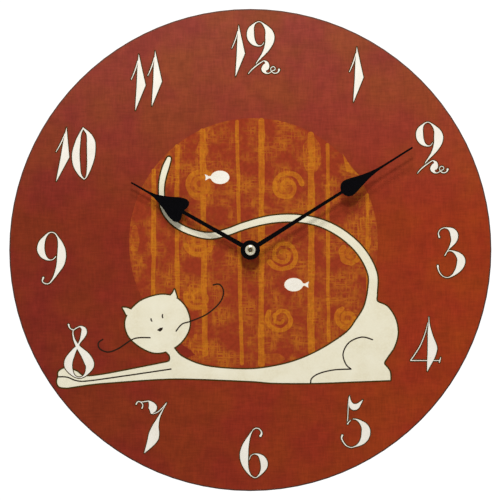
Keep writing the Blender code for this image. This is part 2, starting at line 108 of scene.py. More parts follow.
def pen(points, extra=0.0):
    """The quadrilaterals and round ends of a brush stroke through (x, z, half width)."""
    path = spline(points)
    left, right = [], []
    for number, (x, z, half) in enumerate(path):
        back = path[max(number - 1, 0)]
        ahead = path[min(number + 1, len(path) - 1)]
        run = Vector((ahead[0] - back[0], ahead[1] - back[1])).normalized()
        half = max(half, FINEST_HALF) + extra
        left.append((x - run.y * half, z + run.x * half))
        right.append((x + run.y * half, z - run.x * half))
    shapes = []
    for quad in zip(right, right[1:], left[1:], left):
        shapes.append([quad[corner] for corner in convex_hull_2d(quad)])
    for x, z, half in (path[0], path[-1]):
        half = max(half, FINEST_HALF) + extra
        shapes.append(ellipse(x, z, half, half, CAP_SIDES))
    return shapes


def line(points, half):
    """A stroke of one width."""
    return pen([(x, z, half) for x, z in points])


def border(corners, half):
    """A stroke of one width along a closed outline."""
    shapes = []
    for start, end in zip(corners, corners[1:] + corners[:1]):
        run = Vector((end[0] - start[0], end[1] - start[1]))
        if run.length > 0:
            side = Vector((-run.y, run.x)).normalized() * half
            shapes.append([
                (start[0] - side.x, start[1] - side.y), (end[0] - side.x, end[1] - side.y),
                (end[0] + side.x, end[1] + side.y), (start[0] + side.x, start[1] + side.y),
            ])
        shapes.append(ellipse(start[0], start[1], half, half, CORNER_SIDES))
    return shapes


def turned_left(corners):
    """The outline in anticlockwise order."""
    following = corners[1:] + corners[:1]
    area = sum(a[0] * b[1] - b[0] * a[1] for a, b in zip(corners, following))
    return corners if area > 0 else corners[::-1]


INSIDE_OUTLINES = 1
POINTS_MERGE = 1e-5


def ink(name, shapes, layer, finish):
    """One thin closed sheet of ink that covers all these outlines, on the front of the print."""
    points, faces = [], []
    for shape in shapes:
        faces.append(list(range(len(points), len(points) + len(shape))))
        points += [Vector(corner) for corner in turned_left(shape)]
    flat, _, triangles, _, _, owners = delaunay_2d_cdt(
        points, [], faces, INSIDE_OUTLINES, POINTS_MERGE
    )
    triangles = [list(t) for t, owner in zip(triangles, owners) if owner]
    used = sorted({corner for t in triangles for corner in t})
    place = {corner: number for number, corner in enumerate(used)}
    triangles = [[place[corner] for corner in t] for t in triangles]
    front = PRINT_FRONT - layer * MM
    back = PRINT_FRONT + INK_SUNK * MM
    vertices = [(flat[c][0] * MM, y, flat[c][1] * MM) for y in (front, back) for c in used]
    count = len(used)
    sides = {(a, b) for t in triangles for a, b in zip(t, t[1:] + t[:1])}
    rims = [(a, b) for a, b in sides if (b, a) not in sides]
    mesh = bpy.data.meshes.new(name)
    mesh.from_pydata(
        vertices, [],
        triangles
        + [[corner + count for corner in t[::-1]] for t in triangles]
        + [[b, a, a + count, b + count] for a, b in rims],
    )
    piece = bpy.data.objects.new(name, mesh)
    bpy.context.scene.collection.objects.link(piece)
    mesh.materials.append(finish)
    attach(piece, "movement")


# ---------------------------------------------------------------- finishes


def new_finish(name, roughness, metallic=0.0, coat=0.0, specular=0.5):
    """A material with these constants on its shader, and no colour yet."""
    finish = bpy.data.materials.new(name)
    finish.use_nodes = True
    shader = finish.node_tree.nodes["Principled BSDF"]
    shader.inputs["Roughness"].default_value = roughness
    shader.inputs["Metallic"].default_value = metallic
    shader.inputs["Coat Weight"].default_value = coat
    shader.inputs["Specular IOR Level"].default_value = specular
    return finish


def linear(colour):
    """A colour of 0 to 255 as a picture shows it, in the linear values that shaders use."""
    shares = [channel / 255 for channel in colour]
    return [s / 12.92 if s < 0.04045 else ((s + 0.055) / 1.055) ** 2.4 for s in shares] + [1.0]


def noise(finish, size, detail=2.0, stretch=(1.0, 1.0, 1.0)):
    """A value from 0 to 1 that changes over about this many mm, longer along a stretched axis."""
    tree = finish.node_tree
    place = tree.nodes.new("ShaderNodeTexCoord")
    mapping = tree.nodes.new("ShaderNodeMapping")
    mapping.inputs["Scale"].default_value = [1 / (MM * size * s) for s in stretch]
    texture = tree.nodes.new("ShaderNodeTexNoise")
    texture.inputs["Scale"].default_value = 1.0
    texture.inputs["Detail"].default_value = detail
    tree.links.new(place.outputs["Object"], mapping.inputs["Vector"])
    tree.links.new(mapping.outputs["Vector"], texture.inputs["Vector"])
    return texture.outputs["Fac"]


def share_along(finish, axes, low, high):
    """0 nearer than low and 1 further than high, in mm, along one axis or outwards across two."""
    tree = finish.node_tree
    place = tree.nodes.new("ShaderNodeTexCoord")
    share = tree.nodes.new("ShaderNodeMapRange")
    share.inputs["From Min"].default_value = low * MM
    share.inputs["From Max"].default_value = high * MM
    if len(axes) == 1:
        split = tree.nodes.new("ShaderNodeSeparateXYZ")
        tree.links.new(place.outputs["Object"], split.inputs["Vector"])
        tree.links.new(split.outputs[axes], share.inputs["Value"])
    else:
        flat = tree.nodes.new("ShaderNodeVectorMath")
        flat.operation = "MULTIPLY"
        flat.inputs[1].default_value = [float(axis in axes) for axis in "XYZ"]
        reach = tree.nodes.new("ShaderNodeVectorMath")
        reach.operation = "LENGTH"
        tree.links.new(place.outputs["Object"], flat.inputs[0])
        tree.links.new(flat.outputs["Vector"], reach.inputs[0])
        tree.links.new(reach.outputs["Value"], share.inputs["Value"])
    return share.outputs["Result"]


def ramp(finish, value, stops):
    """A value turned into a colour through (position, colour) stops."""
    tree = finish.node_tree
    node = tree.nodes.new("ShaderNodeValToRGB")
    band = node.color_ramp
    band.elements[0].position, band.elements[0].color = stops[0]
    band.elements[1].position, band.elements[1].color = stops[-1]
    for position, colour in stops[1:-1]:
        band.elements.new(position).color = colour
    tree.links.new(value, node.inputs["Fac"])
    return node.outputs["Color"]


def grey(share):
    """A linear grey, from 0 for black to 1 for white."""
    return (share, share, share, 1.0)


def mix(finish, factor, first, second, blend="MIX"):
    """Two colours mixed. A factor or a colour is a link or a constant."""
    tree = finish.node_tree
    node = tree.nodes.new("ShaderNodeMix")
    node.data_type = "RGBA"
    node.blend_type = blend
    sockets = (node.inputs["Factor"], node.inputs[6], node.inputs[7])
    for socket, value in zip(sockets, (factor, first, second)):
        if isinstance(value, bpy.types.NodeSocket):
            tree.links.new(value, socket)
        else:
            socket.default_value = value
    return node.outputs[2]


def colour(finish, value):
    """Gives the finish a linked value as its colour."""
    shader = finish.node_tree.nodes["Principled BSDF"]
    finish.node_tree.links.new(value, shader.inputs["Base Color"])


def roughen(finish, value, low, high):
    """Roughness from low to high as the value goes from 0 to 1."""
    tree = finish.node_tree
    share = tree.nodes.new("ShaderNodeMapRange")
    share.inputs["To Min"].default_value = low
    share.inputs["To Max"].default_value = high
    tree.links.new(value, share.inputs["Value"])
    tree.links.new(share.outputs["Result"], tree.nodes["Principled BSDF"].inputs["Roughness"])


def emboss(finish, height, depth):
    """Bumps of this depth in mm where the height goes from 0 to 1."""
    tree = finish.node_tree
    bump = tree.nodes.new("ShaderNodeBump")
    bump.inputs["Distance"].default_value = depth * MM
    tree.links.new(height, bump.inputs["Height"])
    tree.links.new(bump.outputs["Normal"], tree.nodes["Principled BSDF"].inputs["Normal"])


def plain_finish(name, dark, light, roughness, metallic=0.0, coat=0.0, grain=0.8, depth=0.01,
                 stretch=(1.0, 1.0, 1.0), specular=0.5):
    """A finish whose colour drifts between two shades, with a fine grain and uneven gloss."""
    finish = new_finish(name, roughness, metallic, coat, specular)
    drift = noise(finish, grain * 9, 3.0, stretch)
    fine = noise(finish, grain, 2.0, stretch)
    shade = ramp(finish, drift, [(0.3, linear(dark)), (0.7, linear(light))])
    colour(finish, mix(finish, fine, shade, linear(light)))
    roughen(finish, fine, roughness * 0.85, min(roughness * 1.15, 1.0))
    emboss(finish, fine, depth)
    return finish


# Specular level of ink and printed cloth.
PAPER_SHEEN = 0.06

# Threads of the printed canvas, in mm.
THREAD = 0.8
THREAD_RUN = 7.0


def threads(finish):
    """Level and upright threads of a woven cloth, as two values."""
    level = noise(finish, THREAD, 1.0, (THREAD_RUN, 1.0, 1.0))
    upright = noise(finish, THREAD, 1.0, (1.0, 1.0, THREAD_RUN))
    return level, upright


# Where the red drifts from its left to its right shade, and from these to its top shade, in mm.
DRIFT_ACROSS = (-130.0, 130.0)
DRIFT_UP = (20.0, 150.0)


def canvas_finish(name, left, right, top, weave):
    """Printed canvas: one red that drifts from left to right and upwards, clouded, over a fine weave."""
    finish = new_finish(name, 0.7, specular=PAPER_SHEEN)
    level, upright = threads(finish)
    across = share_along(finish, "X", *DRIFT_ACROSS)
    red = mix(finish, across, linear(left), linear(right))
    red = mix(finish, share_along(finish, "Z", *DRIFT_UP), red, linear(top))
    warm = ramp(finish, noise(finish, 30.0, 4.0), [
        (0.38, (1.0, 0.86, 1.1, 1.0)), (0.62, (1.0, 1.14, 0.86, 1.0)),
    ])
    shade = ramp(finish, noise(finish, 9.0, 5.0), [(0.35, grey(0.86)), (0.65, grey(1.0))])
    cloth = mix(finish, 0.5, level, upright)
    dark = ramp(finish, cloth, [(0.35, grey(1 - weave)), (0.65, grey(1.0))])
    for layer in (warm, shade, dark):
        red = mix(finish, 1.0, red, layer, "MULTIPLY")
    colour(finish, red)
    roughen(finish, cloth, 0.6, 0.8)
    emboss(finish, cloth, 0.03)
    return finish


def woven_finish(name, ground, thread, cover):
    """Cloth of two colours: threads show on the ground in patches, more of them with more cover."""
    finish = new_finish(name, 0.7, specular=PAPER_SHEEN)
    level, upright = threads(finish)
    rows = ramp(finish, level, [(0.42, grey(0.0)), (0.6, grey(1.0))])
    posts = ramp(finish, upright, [(0.42, grey(0.0)), (0.6, grey(1.0))])
    hatch = mix(finish, 1.0, rows, posts, "LIGHTEN")
    clouds = noise(finish, 10.0, 4.0)
    where = ramp(finish, clouds, [(0.7 - cover * 0.6, grey(0.0)), (0.95 - cover * 0.6, grey(1.0))])
    share = mix(finish, 1.0, hatch, where, "MULTIPLY")
    flecks = ramp(finish, noise(finish, 2.2, 3.0), [(0.35, grey(0.82)), (0.65, grey(1.0))])
    cloth = mix(finish, share, linear(ground), linear(thread))
    colour(finish, mix(finish, 1.0, cloth, flecks, "MULTIPLY"))
    emboss(finish, mix(finish, 0.5, level, upright), 0.03)
    return finish


def ink_finish(name, dark, light, grain=1.2):
    """Flat printing ink with a slightly uneven tone."""
    return plain_finish(name, dark, light, 0.65, grain=grain, depth=0.01, specular=PAPER_SHEEN)


RED = canvas_finish("canvas_red", (134, 47, 29), (161, 57, 24), (150, 69, 50), 0.2)
DISC_RED = woven_finish("disc_red", (152, 55, 28), (182, 98, 27), 0.48)
WASH = woven_finish("mustard_wash", (160, 66, 27), (186, 102, 26), 0.7)
MUSTARD = woven_finish("mustard", (178, 90, 24), (196, 114, 26), 0.7)
CREAM = ink_finish("cream_ink", (222, 212, 180), (236, 230, 206))
WHITE = ink_finish("white_ink", (230, 222, 204), (242, 237, 226))
OLIVE = ink_finish("olive_line", (56, 38, 8), (72, 52, 12), 0.6)
DARK_LINE = ink_finish("dark_line", (30, 18, 12), (44, 30, 20), 0.6)


# ---------------------------------------------------------------- numerals

# How far the dark outline reaches past a numeral, in mm.
NUMERAL_EDGE = 0.6

# Strokes as (x, z, half width). A digit used more than once is drawn from its own top.
# The one's body is a filled outline with sharp corners, so its points have no half width.
ONE = [
    [(0.0, -0.8), (-0.8, -9.9), (-1.2, -20.9), (-1.9, -31.2), (-2.1, -35.6), (4.25, -20.0)],
    [(-0.5, -5.0, 0.25), (-1.6, -9.0, 0.3), (-3.1, -13.0, 0.25), (-4.6, -16.4, 0.15)],
]
TWO = [
    [(3.2, -12.8, 0.1), (2.5, -14.0, 0.15), (1.2, -14.9, 0.2), (-0.9, -14.7, 0.5),
     (-3.2, -13.0, 1.4), (-4.8, -10.1, 2.1), (-5.1, -7.0, 2.15), (-4.6, -4.4, 1.65),
     (-3.1, -1.9, 0.6), (-1.5, -0.5, 0.25), (0.3, 0.0, 0.2), (2.2, -0.9, 0.3), (4.6, -3.4, 1.1),
     (6.3, -6.3, 2.2), (6.9, -9.3, 2.8), (6.6, -12.5, 2.5), (5.2, -16.2, 1.75),
     (3.2, -19.6, 1.0), (1.1, -22.3, 0.5), (-0.7, -24.6, 0.25), (-1.6, -25.9, 0.15)],
    [(-6.4, -32.2, 0.15), (-4.5, -29.9, 0.25), (-1.9, -27.6, 0.3), (1.6, -25.1, 0.25),
     (3.4, -24.3, 0.25), (4.9, -25.6, 1.0), (4.6, -27.6, 2.0), (3.4, -29.5, 1.75),
     (3.9, -31.2, 0.8), (5.5, -32.0, 0.25), (7.1, -31.5, 0.2), (8.6, -30.4, 0.2),
     (10.0, -29.8, 0.2), (10.1, -28.6, 0.2), (9.1, -27.8, 0.2), (7.9, -28.3, 0.2),
     (7.4, -29.5, 0.2), (8.1, -30.9, 0.2), (9.4, -31.8, 0.25), (11.0, -31.8, 0.25),
     (12.2, -30.9, 0.35), (12.6, -29.7, 0.6)],
]
ZERO = [
    [(-0.2, 0.0, 0.25), (2.9, -3.2, 1.0), (4.4, -6.4, 2.0), (5.1, -10.5, 2.65), (4.9, -18.0, 2.35),
     (3.8, -25.0, 1.3), (2.2, -30.6, 0.35), (0.7, -32.3, 0.2)],
    [(0.1, 0.0, 0.25), (-1.8, -3.8, 0.6), (-3.2, -8.5, 1.45), (-4.6, -16.5, 2.3),
     (-4.0, -23.6, 2.1), (-2.0, -29.4, 0.8), (0.5, -32.3, 0.2)],
]
THREE = [
    [(119.4, 8.1, 0.45), (118.8, 10.5, 0.25), (119.9, 12.8, 0.2), (122.3, 14.0, 0.2),
     (124.8, 13.7, 0.5), (127.1, 12.4, 1.6), (128.6, 10.2, 2.3), (128.9, 7.8, 2.15),
     (128.4, 5.6, 1.65), (127.2, 3.4, 1.0), (125.6, 1.0, 0.3), (124.3, -1.0, 0.2),
     (122.9, -3.4, 0.25)],
    [(124.4, -1.0, 0.15), (125.9, -0.4, 0.2), (128.4, -1.0, 0.5), (130.9, -2.7, 1.4),
     (132.7, -4.9, 2.2), (133.2, -7.2, 2.5), (132.5, -10.0, 2.25), (130.9, -12.8, 1.55),
     (128.5, -15.4, 0.7), (126.0, -17.0, 0.25), (124.1, -17.4, 0.2), (121.9, -16.7, 0.2),
     (120.1, -15.0, 0.25), (118.8, -12.5, 0.3), (118.4, -10.0, 0.55)],
]
FOUR = [
    [(112.8, -42.3, 0.1), (112.9, -46.8, 0.35), (113.2, -51.0, 1.05), (113.9, -55.6, 1.8),
     (114.6, -59.2, 2.55), (115.0, -62.0, 2.95), (114.7, -64.8, 2.7), (114.1, -67.6, 2.25),
     (113.3, -70.6, 1.6), (112.4, -73.9, 0.7), (111.8, -76.5, 0.1)],
    [(112.2, -46.0, 0.15), (110.3, -52.9, 0.2), (107.6, -59.8, 0.25), (104.5, -65.0, 0.25),
     (101.3, -69.6, 0.25)],
    [(101.3, -69.8, 0.25), (110.0, -69.8, 0.2), (119.4, -69.8, 0.2)],
    [(119.4, -71.0, 0.25), (119.8, -69.5, 0.25), (120.2, -67.8, 0.15)],
]
FIVE = [
    [(62.6, -92.2, 0.1), (63.0, -95.6, 0.65), (63.9, -98.0, 1.6), (65.4, -99.1, 1.95),
     (67.3, -98.7, 1.6), (69.1, -97.0, 0.8), (71.0, -94.7, 0.1)],
    [(62.4, -93.0, 0.15), (61.9, -98.2, 0.2), (61.6, -104.6, 0.2), (61.4, -108.0, 0.2)],
    [(63.4, -107.5, 0.1), (62.3, -108.6, 0.25), (61.4, -109.8, 0.35)],
    [(64.9, -106.7, 0.15), (67.3, -107.1, 0.35), (69.7, -108.7, 1.0), (71.6, -110.6, 1.8),
     (72.8, -112.9, 2.45), (73.0, -115.5, 2.7), (72.3, -118.5, 2.35), (70.6, -121.2, 1.6),
     (68.2, -123.1, 0.7), (65.8, -124.2, 0.25), (63.4, -124.7, 0.2), (60.6, -123.5, 0.25),
     (58.8, -121.4, 0.3), (57.6, -118.9, 0.35), (58.1, -117.1, 0.55)],
]
SIX = [
    [(6.4, -117.4, 0.65), (7.1, -116.0, 0.5), (6.8, -114.4, 0.3), (5.6, -113.0, 0.25),
     (4.0, -112.5, 0.25), (2.3, -113.1, 0.2), (1.1, -114.5, 0.2), (0.0, -116.4, 0.45),
     (-1.1, -118.7, 0.85), (-2.3, -121.6, 1.55), (-3.3, -124.8, 2.15), (-3.9, -128.7, 2.6),
     (-3.8, -132.5, 2.4), (-3.0, -136.3, 1.7), (-1.4, -140.0, 0.8), (0.5, -142.5, 0.3),
     (2.8, -143.8, 0.2), (4.3, -143.4, 0.2)],
    [(-0.6, -132.3, 0.15), (0.0, -130.5, 0.15), (1.1, -129.3, 0.15), (3.0, -128.8, 0.2),
     (5.4, -129.5, 0.7), (7.4, -131.4, 1.7), (8.6, -134.0, 2.15), (8.7, -136.4, 2.05),
     (7.9, -138.9, 1.4), (6.4, -141.3, 0.65), (4.4, -143.3, 0.2)],
]
SEVEN = [
    [(-72.1, -97.4, 0.35), (-71.0, -95.8, 0.25), (-69.2, -96.1, 0.25), (-67.9, -97.9, 0.25),
     (-68.4, -99.9, 0.35)],
    [(-69.2, -96.1, 0.2), (-66.4, -95.7, 0.25), (-64.2, -95.5, 0.35), (-62.6, -97.2, 1.6),
     (-61.7, -99.2, 2.6), (-61.7, -100.8, 2.2), (-62.2, -102.6, 0.9)],
    [(-61.2, -103.4, 0.2), (-58.6, -102.4, 0.2), (-55.6, -99.8, 0.25), (-52.9, -96.5, 0.15)],
    [(-53.1, -97.0, 0.15), (-55.6, -101.5, 0.25), (-58.0, -106.3, 0.7), (-59.8, -111.3, 1.9),
     (-60.6, -115.3, 3.0), (-61.4, -118.8, 3.2), (-63.6, -123.0, 2.0), (-66.9, -128.1, 0.1)],
]
EIGHT = [
    [(-114.8, -47.1, 0.5), (-113.9, -49.4, 0.25), (-111.7, -50.4, 0.25), (-109.6, -49.2, 0.25),
     (-107.4, -48.4, 0.35), (-105.4, -49.8, 1.3), (-105.0, -52.0, 1.7), (-106.0, -54.9, 1.25),
     (-107.4, -57.6, 0.55), (-109.0, -60.4, 0.5), (-110.9, -63.0, 1.1), (-113.0, -66.5, 1.9),
     (-114.7, -70.0, 2.45), (-114.9, -73.2, 2.4), (-113.7, -76.2, 1.6), (-111.9, -78.8, 0.65),
     (-110.0, -80.2, 0.25), (-108.2, -80.6, 0.2)],
    [(-111.9, -50.6, 0.2), (-112.0, -53.0, 0.3), (-111.4, -56.1, 0.45), (-110.0, -59.2, 0.8),
     (-108.4, -61.6, 1.2), (-106.5, -63.9, 1.7), (-104.2, -66.6, 2.4), (-102.3, -69.9, 2.8),
     (-101.4, -72.8, 2.6), (-102.4, -76.0, 1.6), (-104.3, -78.9, 0.6), (-106.5, -80.4, 0.25),
     (-108.2, -80.6, 0.2)],
]
NINE = [
    [(-122.9, -4.2, 0.25), (-124.5, -5.8, 0.2), (-126.5, -6.3, 0.25), (-128.7, -5.5, 0.8),
     (-131.0, -3.2, 1.75), (-132.3, 0.4, 2.25), (-131.7, 4.5, 1.85), (-129.8, 8.0, 0.85),
     (-127.5, 10.5, 0.35), (-125.4, 11.2, 0.2), (-123.2, 10.3, 0.25), (-121.4, 7.6, 0.5),
     (-120.1, 4.3, 1.4), (-119.3, 0.5, 2.3), (-119.2, -4.0, 2.7), (-119.9, -8.6, 2.35),
     (-121.8, -13.2, 1.35), (-124.4, -17.9, 0.5), (-126.9, -20.9, 0.25), (-129.3, -21.3, 0.25),
     (-131.3, -19.8, 0.25), (-130.7, -17.4, 0.5)],
]

# Each numeral's digits: strokes, place of the digit's own origin, size and slant.
NUMERALS = {
    "1": [(ONE, 67.2, 129.0, 1.0, 0.0)],
    "2": [(TWO, 112.0, 80.7, 1.0, 0.0)],
    "3": [(THREE, 0.0, 0.0, 1.0, 0.0)],
    "4": [(FOUR, 0.0, 0.0, 1.0, 0.0)],
    "5": [(FIVE, 0.0, 0.0, 1.0, 0.0)],
    "6": [(SIX, 0.0, 0.0, 1.0, 0.0)],
    "7": [(SEVEN, 0.0, 0.0, 1.0, 0.0)],
    "8": [(EIGHT, 0.0, 0.0, 1.0, 0.0)],
    "9": [(NINE, 0.0, 0.0, 1.0, 0.0)],
    "10": [(ONE, -116.0, 78.2, 0.98, 0.13), (ZERO, -105.6, 77.1, 1.0, 0.0)],
    "11": [(ONE, -70.5, 124.5, 1.02, 0.0), (ONE, -60.1, 126.5, 1.0, 0.0)],
    "12": [(ONE, -7.4, 142.7, 0.93, 0.0), (TWO, 5.3, 144.2, 1.02, 0.0)],
}

for numeral, digits in NUMERALS.items():
    edges, fills = [], []
    for digit, x, z, size, slant in digits:
        for marks in digit:
            placed = [
                (x + size * (a + slant * b), z + size * b, *(size * half for half in halves))
                for a, b, *halves in marks
            ]
            if len(marks[0]) == 2:
                fills.append(placed)
                edges += [placed] + border(placed, NUMERAL_EDGE)
            else:
                fills += pen(placed)
                edges += pen(placed, NUMERAL_EDGE)
    ink(f"numeral_{numeral}_edge", edges, NUMERAL_EDGE_LAYER, OLIVE)
    ink(f"numeral_{numeral}", fills, NUMERAL_LAYER, WHITE)


# ---------------------------------------------------------------- the cat

# Half widths: the outline's reach past the shape, and the fine lines on it.
CAT_EDGE = 0.95
CAT_LINE = 0.44

TAIL = [
    (-51.4, 57.6, 1.2), (-53.2, 52.8, 1.75), (-54.8, 47.6, 1.75), (-55.9, 42.0, 1.6),
    (-56.1, 36.0, 1.5), (-55.4, 28.5, 1.5), (-52.6, 22.2, 1.6), (-46.0, 15.6, 1.6),
    (-36.5, 11.1, 1.6),
    (-25.8, 9.0, 1.75), (-15.3, 11.1, 1.8), (-2.7, 15.6, 1.9), (12.5, 19.3, 2.1),
    (27.6, 20.1, 2.1), (42.5, 17.7, 2.1), (55.5, 11.8, 2.3), (66.5, 3.0, 2.4),
    (73.6, -6.5, 2.5), (77.4, -16.0, 2.6), (77.3, -25.0, 2.7), (76.4, -33.0, 2.8),
]
BELLY = [
    (74.6, -24.0), (73.9, -29.0), (71.8, -36.4), (66.9, -44.4), (60.5, -52.4), (45.3, -62.5),
    (30.1, -69.5), (15.0, -73.5), (-2.7, -75.4), (-27.3, -73.5), (-42.5, -67.8), (-48.3, -61.9),
]
THROAT = [(-48.3, -61.9), (-52.0, -57.0), (-56.0, -62.0), (-53.0, -64.2)]
FORELEGS = [
    (-53.0, -64.2), (-50.8, -66.8), (-51.2, -70.3), (-56.5, -71.7), (-67.4, -73.9),
    (-93.7, -78.9), (-104.8, -79.7), (-109.6, -76.8), (-114.0, -75.1), (-117.8, -74.9),
    (-121.0, -77.0), (-121.2, -80.0), (-122.0, -83.0), (-120.6, -86.2), (-115.8, -86.9),
]
UNDERSIDE = [
    (-115.8, -86.9), (-100.0, -84.6), (-87.6, -83.5), (-57.4, -81.4), (-37.4, -81.2),
    (-0.2, -82.7), (15.0, -83.8), (40.2, -83.9), (70.0, -82.8), (88.4, -82.1),
]
HAUNCH = [
    (88.4, -82.1), (88.2, -77.6), (86.8, -74.8), (84.4, -71.5), (86.6, -67.4), (90.8, -61.0),
    (93.0, -52.4), (91.4, -43.3), (86.4, -35.8), (80.0, -32.4), (79.6, -27.0), (74.6, -24.0),
]
HEAD = [
    (-60.0, -28.9), (-69.0, -32.2), (-75.6, -38.2), (-78.9, -45.5), (-77.2, -53.5),
    (-71.0, -60.0), (-61.5, -64.6), (-52.5, -63.7), (-44.5, -58.8), (-39.4, -51.5),
    (-38.4, -44.0), (-41.2, -36.0), (-46.8, -30.4), (-53.0, -28.4),
]
EARS = [
    [(-75.4, -37.6), (-78.0, -36.6), (-80.6, -36.4), (-79.4, -38.6), (-78.2, -41.0), (-74.0, -41.0)],
    [(-50.4, -28.8), (-48.9, -27.2), (-47.9, -25.0), (-47.2, -27.4), (-46.4, -30.0), (-50.4, -32.0)],
]

body_outline = outline(BELLY, THROAT, FORELEGS, UNDERSIDE, HAUNCH)
head_outline = round_outline(HEAD)
solid_shapes = [body_outline, head_outline] + EARS
cat_edge = list(solid_shapes)
for corners in solid_shapes:
    cat_edge += border(corners, CAT_EDGE)
ink("cat_edge", cat_edge + pen(TAIL, CAT_EDGE), OUTLINE_LAYER, OLIVE)
ink("cat", solid_shapes + pen(TAIL), FILL_LAYER, CREAM)

CAT_LINES = {
    "cat_haunch": [(77.2, -56.6), (70.3, -55.0), (62.4, -58.4), (58.6, -65.4), (60.3, -72.0),
                   (63.6, -75.2)],
    "cat_foot": [(63.6, -75.2), (52.3, -75.8), (43.2, -78.1), (38.8, -81.1), (38.1, -83.9)],
    "cat_foreleg": [(-121.4, -80.1), (-115.8, -80.3), (-109.5, -82.6), (-101.9, -82.6),
                    (-80.0, -79.6), (-50.1, -75.2)],
    "cat_whisker_left": [(-63.3, -55.4), (-70.3, -55.4), (-75.3, -56.9), (-83.5, -62.3),
                         (-89.9, -64.4), (-95.0, -62.4), (-96.0, -58.8), (-93.2, -56.4)],
    "cat_whisker_right": [(-46.9, -51.2), (-43.1, -46.8), (-37.4, -44.9), (-27.3, -40.4),
                          (-19.3, -33.2), (-16.9, -26.4), (-19.3, -21.8), (-23.4, -22.0)],
    "cat_eye_left": [(-62.7, -43.5), (-62.6, -44.3), (-62.2, -44.9)],
    "cat_eye_right": [(-55.4, -40.8), (-55.6, -41.8), (-55.3, -42.7)],
}
for name, points in CAT_LINES.items():
    ink(name, line(points, CAT_LINE), LINE_LAYER, DARK_LINE)
NOSE = [(-59.0, -50.6), (-57.2, -49.2), (-55.1, -48.9), (-55.5, -50.4), (-57.0, -51.6)]
ink("cat_nose", [NOSE], LINE_LAYER, DARK_LINE)


# ---------------------------------------------------------------- the disc and what is on it

DISC_X = 2.0
DISC_Z = 4.7
DISC_RADIUS = 78.6
DISC_SIDES = 160
LOWER_BACK_SPANS = 10

# The disc's cloth also fills the hollow over the cat's back, down to the start of the neck.
hollow = outline(BELLY, THROAT)[:LOWER_BACK_SPANS * SPAN_STEPS]
ink("disc", [ellipse(DISC_X, DISC_Z, DISC_RADIUS, DISC_RADIUS, DISC_SIDES), hollow], DISC_LAYER, DISC_RED)

# A stripe stops this far inside the disc's edge and above the cat, and its brush wanders a little
# every so many mm.
STRIPE_MARGIN = 1.5
STRIPE_FOOT = -72.0
STRIPE_SPAN = 9
STRIPE_WANDER = 0.25


def stripe(x, lean, width):
    """A hand-brushed stripe down the disc. lean is how far its foot lies to the right of its top."""
    reach = math.sqrt(DISC_RADIUS ** 2 - (x - DISC_X) ** 2) - STRIPE_MARGIN
    top, foot = DISC_Z + reach, max(DISC_Z - reach, STRIPE_FOOT)
    count = max(4, round((top - foot) / STRIPE_SPAN))
    return pen([
        (x + lean * n / count + dice.uniform(-STRIPE_WANDER, STRIPE_WANDER),
         top + (foot - top) * n / count,
         width / 2 * dice.uniform(0.85, 1.15))
        for n in range(count + 1)
    ])


# A scroll's points in one turn, how far it runs inwards as a share of its radius, and its brush.
SCROLL_POINTS = 14
SCROLL_INWARD = 0.78
SCROLL_HALF = 1.55
SCROLL_THINNING = 0.5
SCROLL_WANDER = 0.3


def scroll(x, z, radius, turns, start):
    """A broad, uneven spiral that runs inwards from its rim and grows thinner."""
    count = round(turns * SCROLL_POINTS)
    points = []
    for n in range(count + 1):
        inward = n / count
        reach = radius * (1 - SCROLL_INWARD * inward) + dice.uniform(-SCROLL_WANDER, SCROLL_WANDER)
        turn = start + 2 * math.pi * turns * inward
        points.append((
            x + reach * math.cos(turn), z + reach * math.sin(turn),
            (SCROLL_HALF - SCROLL_THINNING * inward) * dice.uniform(0.9, 1.15),
        ))
    return pen(points)


PATCH_POINTS = 12
PATCH_UNEVEN = (0.85, 1.1)


def patch(x, z, wide, tall):
    """A soft-cornered patch with a wandering edge."""
    return round_outline([
        (x + wide * dice.uniform(*PATCH_UNEVEN) * math.cos(turn),
         z + tall * dice.uniform(*PATCH_UNEVEN) * math.sin(turn))
        for turn in (2 * math.pi * n / PATCH_POINTS for n in range(PATCH_POINTS))
    ])


# Stripes as (x, lean, width), scrolls as (x, z, radius, turns, start in radians) and washes as
# (x, z, half width, half height).
STRIPES = [
    (-61.1, 0.0, 3.0), (-46.3, 0.0, 2.8), (-30.2, 1.6, 3.6), (-8.4, 2.9, 2.4), (7.0, 0.0, 3.8),
    (38.4, 0.0, 4.2), (48.7, 0.6, 2.4), (74.0, 0.0, 2.0),
]
SCROLLS = [
    (-31.8, 41.0, 9.2, 1.7, 0.6), (22.8, 39.8, 9.8, 1.6, 0.2), (20.8, -3.0, 9.8, 1.8, 3.6),
    (63.9, -2.9, 6.8, 1.4, 2.4), (19.2, -43.6, 8.8, 1.5, 2.6), (61.0, -43.5, 7.0, 1.5, 2.0),
    (-31.8, 5.3, 9.4, 1.5, 3.4), (-33.4, -30.0, 7.8, 1.4, 2.8),
]
WASHES = [
    (-31.8, 40.5, 9.5, 9.0), (22.8, 39.8, 6.0, 6.0), (-31.8, 4.0, 9.0, 8.0),
    (-34.0, -30.0, 7.5, 9.0), (63.5, -3.5, 5.0, 6.0), (61.0, -44.0, 5.0, 6.5),
    (-73.0, 6.0, 3.0, 9.0), (-30.0, 64.0, 4.0, 6.0), (39.0, 60.0, 6.0, 12.0),
    (14.0, -68.5, 8.0, 3.6), (-32.0, -60.0, 6.0, 8.0), (72.0, 10.0, 5.0, 12.0),
]
# A pointed mark at the disc's upper right edge.
FLAME = [(58.3, 61.0), (60.6, 49.6), (69.0, 47.0), (63.5, 52.5)]
ink("washes", [patch(*mark) for mark in WASHES], WASH_LAYER, WASH)
motifs = [shape for mark in STRIPES for shape in stripe(*mark)]
motifs += [shape for mark in SCROLLS for shape in scroll(*mark)]
motifs.append(FLAME)
ink("stripes_and_scrolls", motifs, MOTIF_LAYER, MUSTARD)


